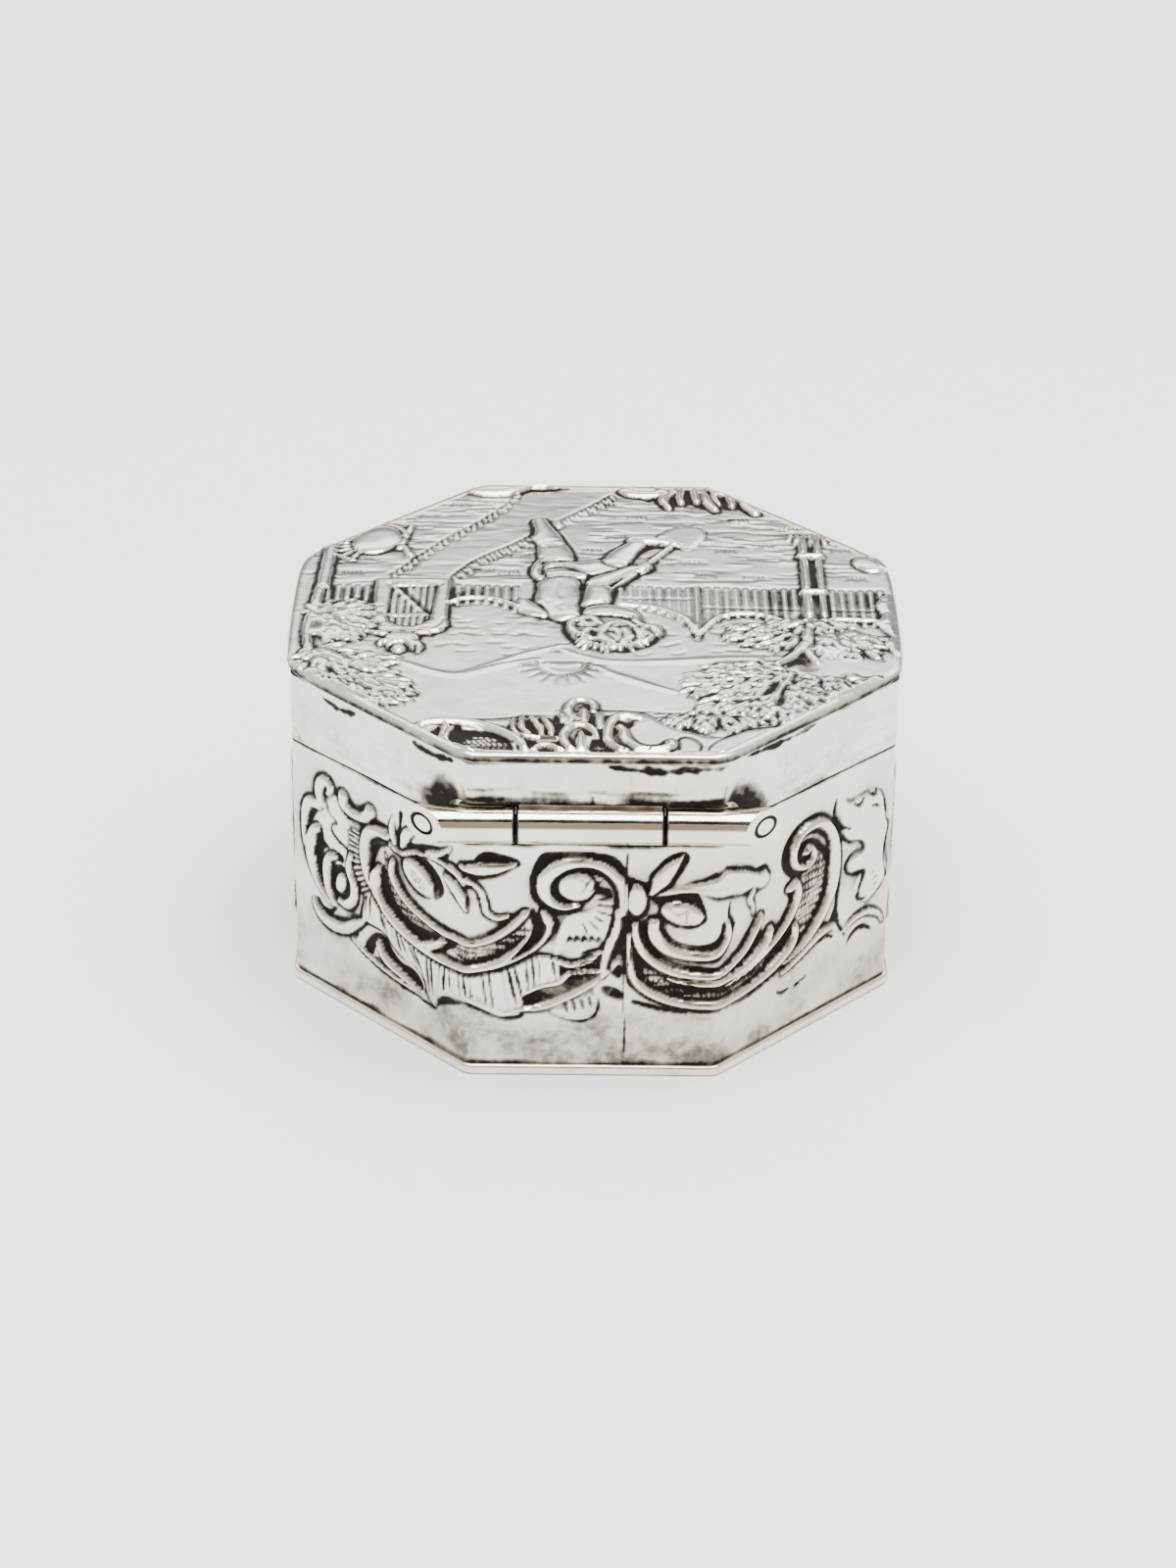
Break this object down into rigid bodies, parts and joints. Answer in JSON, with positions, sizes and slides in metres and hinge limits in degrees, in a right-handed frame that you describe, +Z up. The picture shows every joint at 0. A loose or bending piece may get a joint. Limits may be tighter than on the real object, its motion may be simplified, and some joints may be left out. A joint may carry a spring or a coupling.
{
  "type": "octagonal hinged pill box",
  "caption": "Small eight-sided sheet-silver pill box with a chased hinged lid, inner lip and tube hinge; stands on its foot plate and opens like a lid.",
  "frame": {"origin": "centre of the foot plate's flat underside", "axes": "+Z up out of the lid; the hinge lies along X on the -Y side, so the lid opens away from +Y"},
  "size_m": [0.039, 0.0405, 0.0232],
  "materials": {
    "silver_base": "polished silver, worn, with tarnish along the edge above it",
    "silver_relief": "polished silver with chased ornament, dark oxide left in the hollows",
    "silver_lid": "soft bright silver with chased ornament, dark oxide left in the hollows",
    "silver_band": "plain polished silver with fine scratches",
    "silver_inside": "unpolished silver, satin and slightly yellowed",
    "silver_hinge": "bright polished silver tube",
    "pin_metal": "filed flush, dull"
  },
  "bodies": {
    "base": {"base_plate": "silver_base", "body_wall": "silver_relief", "inner_bezel": "silver_inside", "body_bearer": "silver_inside", "knuckle_left": "silver_hinge", "knuckle_right": "silver_hinge", "hinge_pin": "pin_metal"},
    "lid": {"lid_top": "silver_lid", "lid_band": "silver_band", "lid_bearer": "silver_inside", "knuckle_middle": "silver_hinge", "thumbpiece": "silver_band"}
  },
  "joints": [
    {"name": "lid_hinge", "type": "hinge", "parent": "base", "child": "lid", "pos_m": [0, -0.019, 0.0178], "axis": [1, 0, 0], "range_deg": [0, 165]}
  ]
}
